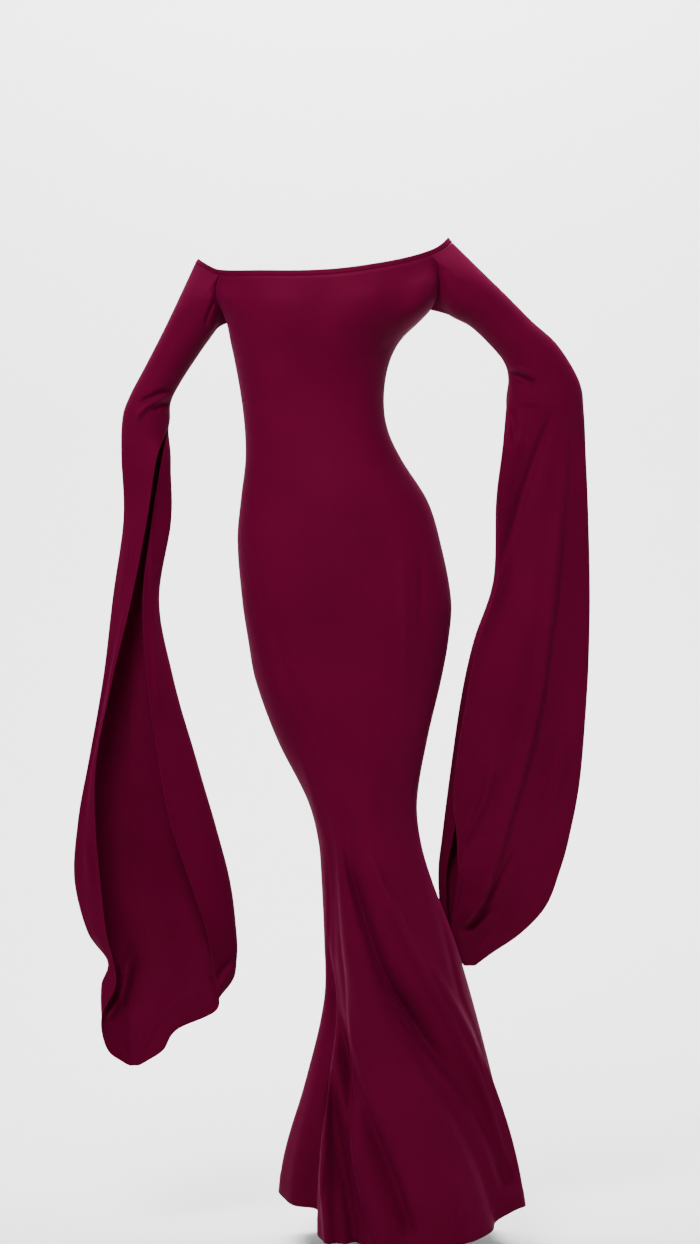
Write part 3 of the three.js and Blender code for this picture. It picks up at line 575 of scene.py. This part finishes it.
LEFT_FRONT_CREASES = (
    Crease(0.013, 0.013, 0.004, (0.3, 0.05), ((0.373, -0.210), (0.366, -0.323), (0.358, -0.398),
           (0.348, -0.503), (0.330, -0.638), (0.315, -0.713), (0.306, -0.746), (0.294, -0.787),
           (0.282, -0.827), (0.270, -0.870), (0.255, -0.915), (0.239, -0.954), (0.221, -0.978),
           (0.201, -0.998))),
    Crease(-0.006, 0.003, 0.006, (0.35, 0.15), ((0.304, -0.848), (0.285, -0.890),
           (0.269, -0.916), (0.254, -0.942), (0.241, -0.965), (0.225, -0.980))),
    Crease(0.009, 0.004, 0.008, (0.3, 0.2), ((0.260, -0.735), (0.249, -0.778), (0.237, -0.815),
           (0.224, -0.840), (0.208, -0.873))),
    Crease(0.006, 0.007, 0.008, (0.3, 0.3), ((0.367, -0.698), (0.361, -0.746), (0.348, -0.804),
           (0.335, -0.854), (0.324, -0.878))),
    Crease(-0.009, 0.005, 0.008, (0.3, 0.4), ((0.206, -1.004), (0.224, -0.993), (0.244, -0.974),
           (0.269, -0.960))),
    Crease(0.008, 0.005, 0.004, (0.3, 0.3), ((0.279, -0.150), (0.301, -0.159), (0.324, -0.171))),
    Crease(-0.008, 0.004, 0.004, (0.3, 0.3), ((0.282, -0.159), (0.303, -0.168),
           (0.323, -0.180))),
    Crease(-0.005, 0.004, 0.004, (0.3, 0.3), ((0.287, -0.173), (0.303, -0.178),
           (0.321, -0.186))),
    Crease(-0.006, 0.005, 0.006, (0.3, 0.3), ((0.284, -0.210), (0.288, -0.240),
           (0.291, -0.270))),
    Crease(-0.007, 0.006, 0.008, (0.2, 0.2), ((0.354, -0.198), (0.324, -0.278), (0.301, -0.345),
           (0.284, -0.398), (0.261, -0.473))),
    Crease(-0.003, 0.005, 0.005, (0.3, 0.3), ((0.221, -0.866), (0.213, -0.887),
           (0.207, -0.907))),
    Crease(0.003, 0.004, 0.004, (0.3, 0.3), ((0.210, -0.885), (0.204, -0.948), (0.198, -0.980))),
)
LEFT_BACK_CREASES = (
    Crease(-0.003, 0.008, 0.008, (0.3, 0.3), ((0.330, -0.340), (0.320, -0.600),
           (0.296, -0.860))),
)

# The right sleeve, at -X: rings down to the elbow, where its slit starts on the inner side,
# and the open drape below it, as one sheet. SEAM_SHARE of its first ring lies along each half
# of the armhole seam, and RING_STEPS rows of points run from one ring to the next.
SEAM_SHARE = 0.27
RING_STEPS = 16


def shoulder_lean(angle):
    # How far the edge leans outwards over the shoulders, for each metre that it drops
    across = np.cos(np.radians(angle))
    return 0.8 * np.sign(across) * across ** 16


def armhole_angle(share, on_right):
    # From the armpit up the front armhole seam, over the sleeve and down the back armhole seam
    climb = np.where(share < 0.5, share, share - 1) / SEAM_SHARE
    over = (0.5 - share) / (0.5 - SEAM_SHARE)
    from_side = ARMHOLE_ANGLE * np.where(np.abs(climb) <= 1, climb, over)
    return from_side if on_right else 180 - from_side


def armhole_points(share, on_right):
    angle = armhole_angle(share, on_right)
    from_side = angle if on_right else 180 - angle
    on_seam = (share <= SEAM_SHARE) | (share >= 1 - SEAM_SHARE)
    z = np.where(on_seam, armhole_height(from_side, on_right),
                 edge_height(NECKLINE, angle) - CASING_HEIGHT)
    places = body_point(angle, z)
    places[:, 0] += np.where(on_seam, 0, shoulder_lean(angle) * CASING_HEIGHT)
    return places


def ring_points(ring, share):
    turn = 2 * np.pi * share
    middle = (np.array(ring.outer) + np.array(ring.under)) / 2
    reach = (np.array(ring.under) - np.array(ring.outer)) / 2
    return np.stack([middle[0] + reach[0] * np.cos(turn), ring.y - ring.deep * np.sin(turn),
                     middle[1] + reach[1] * np.cos(turn)], axis=-1)


def drape_points(row, share, knots):
    stops = np.array([row.front, row.outer, row.back, row.inner, row.end])
    places = curve(stops, np.interp(share, knots, range(len(knots))))
    return np.column_stack([places, np.full(len(share), row.z)])


def sleeve_points(arm, drape, tip_knots, folds, creases, on_right, columns, row_steps):
    share = np.linspace(0, 1, columns + 1)
    rings = [armhole_points(share, on_right)] + [ring_points(ring, share) for ring in arm]
    sheets = []
    fold_share = [0.5]
    for index, row in enumerate(drape):
        down = min(index / (len(drape) * 0.5), 1)
        knots = np.array(SLIT_KNOTS) * (1 - down) + np.array(tip_knots) * down
        sheets.append(drape_points(row, share, knots))
        fold_share.append(knots[1])
    elbow = len(rings) - 1
    steps = np.arange(elbow * RING_STEPS) / RING_STEPS
    levels = np.arange(len(sheets) * row_steps + 1) / row_steps
    points = curve(rings + sheets, np.concatenate([steps, elbow + levels]))
    hanging = points[len(steps):]
    down = levels[:, None] / len(sheets)
    rise = np.zeros(hanging.shape[:2])
    for fold in folds:
        along = np.clip((down - fold.start) / (fold.end - fold.start), 0, 1)
        middle = fold.across[0] + (fold.across[1] - fold.across[0]) * along
        rise += fold.rise * np.sin(np.pi * along) * np.exp(-((share - middle) / fold.wide) ** 2)
    way = np.gradient(hanging, axis=1)
    square = np.stack([way[..., 1], -way[..., 0], np.zeros(way.shape[:2])], axis=-1)
    square /= np.linalg.norm(square, axis=-1, keepdims=True)
    hanging += square * rise[..., None] * (-1 if on_right else 1)
    across, height = on_view(points)
    # The front layer ends at the outer fold, which wanders over the sheet
    front_end = np.interp(levels, range(len(fold_share)), fold_share)
    front_end = np.concatenate([np.full(len(steps), 0.5), front_end])[:, None]
    on_front = np.clip((front_end - share) * 20, 0, 1)
    points[..., 1] -= crease_rise(creases[0], across, height) * on_front
    points[..., 1] -= crease_rise(creases[1], across, height) * (1 - on_front)
    # The shoulder forms run on from the panel, as far as the front half of the sleeve
    angle = armhole_angle(share, on_right)
    near_seam = np.clip(np.sin(np.radians(angle)) * SEAM_FADE, 0, 1)
    swell = near_seam * below_neckline(angle, points[..., 2])
    points[..., 1] -= form_rise(SHOULDER_FORMS, across, height) * swell
    return points


right_points = sleeve_points(RIGHT_ARM, RIGHT_DRAPE, RIGHT_TIP_KNOTS, RIGHT_DRAPE_FOLDS,
                             (RIGHT_FRONT_CREASES, RIGHT_BACK_CREASES), False, 130, 14)
right_sleeve = cloth("right_sleeve", right_points[:, ::-1], JERSEY, jersey, "sleeve_right")

# The left sleeve, at +X, cut the same and hanging in its own way
left_points = sleeve_points(LEFT_ARM, LEFT_DRAPE, LEFT_TIP_KNOTS, LEFT_DRAPE_FOLDS,
                            (LEFT_FRONT_CREASES, LEFT_BACK_CREASES), True, 140, 15)
left_sleeve = cloth("left_sleeve", left_points, JERSEY, jersey, "sleeve_left")

# The elastic casing that closes the neckline: a soft band, puckered a little by its elastic.
# Its profile runs down the outside and up the inside, as (drop, share of half its wall).
CASING_WALL = 0.0019
CASING_COLUMNS = 400
CASING_PROFILE = ((0.0002, 0.2), (0.001, 0.8), (0.003, 1), (0.0055, 1), (0.0074, 0.8),
                  (0.0079, 0.2), (0.0078, -0.4), (0.0068, -0.9), (0.004, -1.1), (0.001, -0.8),
                  (0.0001, -0.3), (0.0002, 0.2))


def casing_line(drop, out, turns):
    line = body_point(turns, edge_height(NECKLINE, turns) - drop)
    line[:, 0] += shoulder_lean(turns) * drop
    outward = line * (1, 1, 0)
    outward /= np.linalg.norm(outward, axis=1, keepdims=True)
    pucker = 0.00018 * np.sin(turns * 1.7) * np.sin(turns * 0.9 + 1)
    pucker = pucker * np.sin(np.radians(turns) / 2) ** 2
    return line + outward * (out * CASING_WALL / 2 - JERSEY / 2 + pucker)[:, None]


casing_turns = np.linspace(0, 360, CASING_COLUMNS + 1)
band = np.array([casing_line(drop, out, casing_turns) for drop, out in CASING_PROFILE])
casing = cloth("neck_casing", band[:, ::-1], 0, casing_jersey, "neckline_casing")


# Stitches: short runs of thread along the casing, twin rows round the hem and one row along
# each hemmed edge of the drapes, DRAPE_HEM inside it
THREAD = 0.00035
DRAPE_HEM = 0.005


def add_stitches(work, line, out, pitch, length):
    # line and out are the points of a seam and the directions that its stitches face
    steps = np.linalg.norm(np.diff(line, axis=0), axis=1)
    passed = np.concatenate([[0], np.cumsum(steps)])
    for at in np.arange(pitch / 2, passed[-1] - pitch / 2, pitch):
        middle = Vector([np.interp(at, passed, line[:, axis]) for axis in range(3)])
        ahead = Vector([np.interp(at + length / 2, passed, line[:, axis]) for axis in range(3)])
        behind = Vector([np.interp(at - length / 2, passed, line[:, axis]) for axis in range(3)])
        face = Vector([np.interp(at, passed, out[:, axis]) for axis in range(3)])
        way = (ahead - behind).normalized()
        face = (face - way * face.dot(way)).normalized()
        turn = Matrix((way, face.cross(way), face)).transposed().to_4x4()
        size = Matrix.Diagonal((length / 2, THREAD, THREAD * 0.7, 1))
        bmesh.ops.create_icosphere(work, subdivisions=1, radius=1,
                                   matrix=Matrix.Translation(middle) @ turn @ size)


def stitch_piece(name, seams, pitch, length):
    work = bmesh.new()
    for line, out in seams:
        add_stitches(work, line, out, pitch, length)
    piece = mesh_object(name, work, thread)
    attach(piece, "root")
    return piece


def grid_facing(points):
    # The direction that each point of a grid faces
    facing = np.cross(np.gradient(points, axis=1), -np.gradient(points, axis=0))
    return facing / np.linalg.norm(facing, axis=-1, keepdims=True)


def row_above_hem(points, height):
    # A seam at a height above the lowest row of a panel
    facing = grid_facing(points)
    up = points[:, :, 2] - points[-1:, :, 2]
    line = []
    out = []
    for column in range(points.shape[1]):
        order = np.argsort(up[:, column])
        line.append([np.interp(height, up[order, column], points[order, column, axis])
                     for axis in range(3)])
        out.append([np.interp(height, up[order, column], facing[order, column, axis])
                    for axis in range(3)])
    return np.array(line), np.array(out)


def column_inside_edge(points, first_row, inset, at_end):
    # A seam at an inset from one open side of a sleeve, from first_row to the tip
    facing = grid_facing(points)
    line = []
    out = []
    for row in range(first_row, points.shape[0]):
        places = points[row, ::-1] if at_end else points[row]
        faces = facing[row, ::-1] if at_end else facing[row]
        passed = np.concatenate([[0], np.cumsum(np.linalg.norm(np.diff(places, axis=0), axis=1))])
        if passed[-1] < 4 * inset:
            break
        line.append([np.interp(inset, passed, places[:, axis]) for axis in range(3)])
        out.append([np.interp(inset, passed, faces[:, axis]) for axis in range(3)])
    return np.array(line), np.array(out)


casing_seam = casing_line(0.0062, 0.98, casing_turns)
casing_out = grid_facing(band[:, ::-1])[4, ::-1]
casing_stitches = stitch_piece("casing_stitches", [(casing_seam, casing_out)],
                               0.0034, 0.0026)
hem_seams = [row_above_hem(points, height)
             for points in (front_points, back_points) for height in (0.019, HEM_TURN)]
hem_stitches = stitch_piece("hem_stitches", hem_seams, 0.0036, 0.0027)
right_slit = RING_STEPS * len(RIGHT_ARM) + 4
left_slit = RING_STEPS * len(LEFT_ARM) + 4
drape_seams = [column_inside_edge(points, slit, DRAPE_HEM, at_end)
               for points, slit in ((right_points[:, ::-1], right_slit), (left_points, left_slit))
               for at_end in (False, True)]
drape_stitches = stitch_piece("drape_stitches", drape_seams, 0.0038, 0.0028)

# A pale floor that curves up into a backdrop, well behind the gown. Its back is clear, so that
# the gown can be seen from behind too.
FLOOR_Z = -1.475
FLOOR_WIDTH = 16
FLOOR_START = -4
FLOOR_LENGTH = 6.5
BEND_RADIUS = 1.5
BACKDROP_RISE = 12
work = bmesh.new()
bmesh.ops.create_grid(work, x_segments=1, y_segments=24, size=0.5)
for vertex in work.verts:
    # Half of the sheet is flat, the next 0.3 of it bends and the rest stands upright
    share = vertex.co.y + 0.5
    bend = min(max((share - 0.5) / 0.3, 0), 1) * math.pi / 2
    rise = max(share - 0.8, 0) * BACKDROP_RISE
    flat = min(share / 0.5, 1) * FLOOR_LENGTH + FLOOR_START
    vertex.co = (vertex.co.x * FLOOR_WIDTH, flat + math.sin(bend) * BEND_RADIUS,
                 FLOOR_Z + BEND_RADIUS * (1 - math.cos(bend)) + rise)
floor_paint = bpy.data.materials.new("floor_paint")
floor_paint.use_nodes = True
paint_nodes = floor_paint.node_tree.nodes
paint_links = floor_paint.node_tree.links
paint_nodes["Principled BSDF"].inputs["Base Color"].default_value = (0.86, 0.86, 0.86, 1)
paint_nodes["Principled BSDF"].inputs["Roughness"].default_value = 0.9
seen_from = paint_nodes.new("ShaderNodeNewGeometry")
clear = paint_nodes.new("ShaderNodeBsdfTransparent")
either = paint_nodes.new("ShaderNodeMixShader")
paint_links.new(seen_from.outputs["Backfacing"], either.inputs[0])
paint_links.new(paint_nodes["Principled BSDF"].outputs["BSDF"], either.inputs[1])
paint_links.new(clear.outputs["BSDF"], either.inputs[2])
paint_links.new(either.outputs["Shader"], paint_nodes["Material Output"].inputs["Surface"])
floor = mesh_object("floor", work, floor_paint)

# Soft studio light: a key lamp high in front and to the left, a weak fill at the camera, one
# on each side that lights the gown's edges, and one on the backdrop. The camera sees a paler
# world than the one that lights the gown.
Lamp = namedtuple("Lamp", "name place aim size power spread")
LAMPS = (
    Lamp("key", (-0.7, -2.9, 1.6), (0.03, 0, 0.2), 1.0, 72, 90),
    Lamp("fill", (0.2, -3.3, -0.4), (0, 0, -0.6), 0.8, 9, 120),
    Lamp("side_left", (-3.0, -0.5, 0.4), (0, 0, -0.6), 1.4, 6, 180),
    Lamp("side_right", (3.0, -0.3, 0.4), (0, 0, -0.6), 1.4, 15, 180),
    Lamp("backdrop_light", (0, 1.2, 3.2), (0, 4.5, -0.5), 3.0, 850, 180),
)
for lamp in LAMPS:
    light = bpy.data.lights.new(lamp.name, "AREA")
    light.size = lamp.size
    light.energy = lamp.power
    light.spread = math.radians(lamp.spread)
    holder = bpy.data.objects.new(lamp.name, light)
    holder.location = lamp.place
    way = Vector(lamp.aim) - Vector(lamp.place)
    holder.rotation_euler = way.to_track_quat("-Z", "Y").to_euler()
    bpy.context.scene.collection.objects.link(holder)
world = bpy.data.worlds.new("studio")
world.use_nodes = True
world_nodes = world.node_tree.nodes
world_links = world.node_tree.links
world_nodes["Background"].inputs["Color"].default_value = (1, 1, 1, 1)
world_nodes["Background"].inputs["Strength"].default_value = 0.15
pale = world_nodes.new("ShaderNodeBackground")
pale.inputs["Color"].default_value = (1, 1, 1, 1)
pale.inputs["Strength"].default_value = 0.8
rays = world_nodes.new("ShaderNodeLightPath")
seen = world_nodes.new("ShaderNodeMixShader")
world_links.new(rays.outputs["Is Camera Ray"], seen.inputs[0])
world_links.new(world_nodes["Background"].outputs["Background"], seen.inputs[1])
world_links.new(pale.outputs["Background"], seen.inputs[2])
world_links.new(seen.outputs["Shader"], world_nodes["World Output"].inputs["Surface"])
bpy.context.scene.world = world

# The camera, square on to the gown from the front, as far away as in a studio
camera_data = bpy.data.cameras.new("camera")
camera_data.sensor_width = 36
camera_data.lens = 106.1
camera = bpy.data.objects.new("camera", camera_data)
camera.location = EYE
camera.rotation_euler = (math.pi / 2, 0, 0)
bpy.context.scene.collection.objects.link(camera)
bpy.context.scene.camera = camera
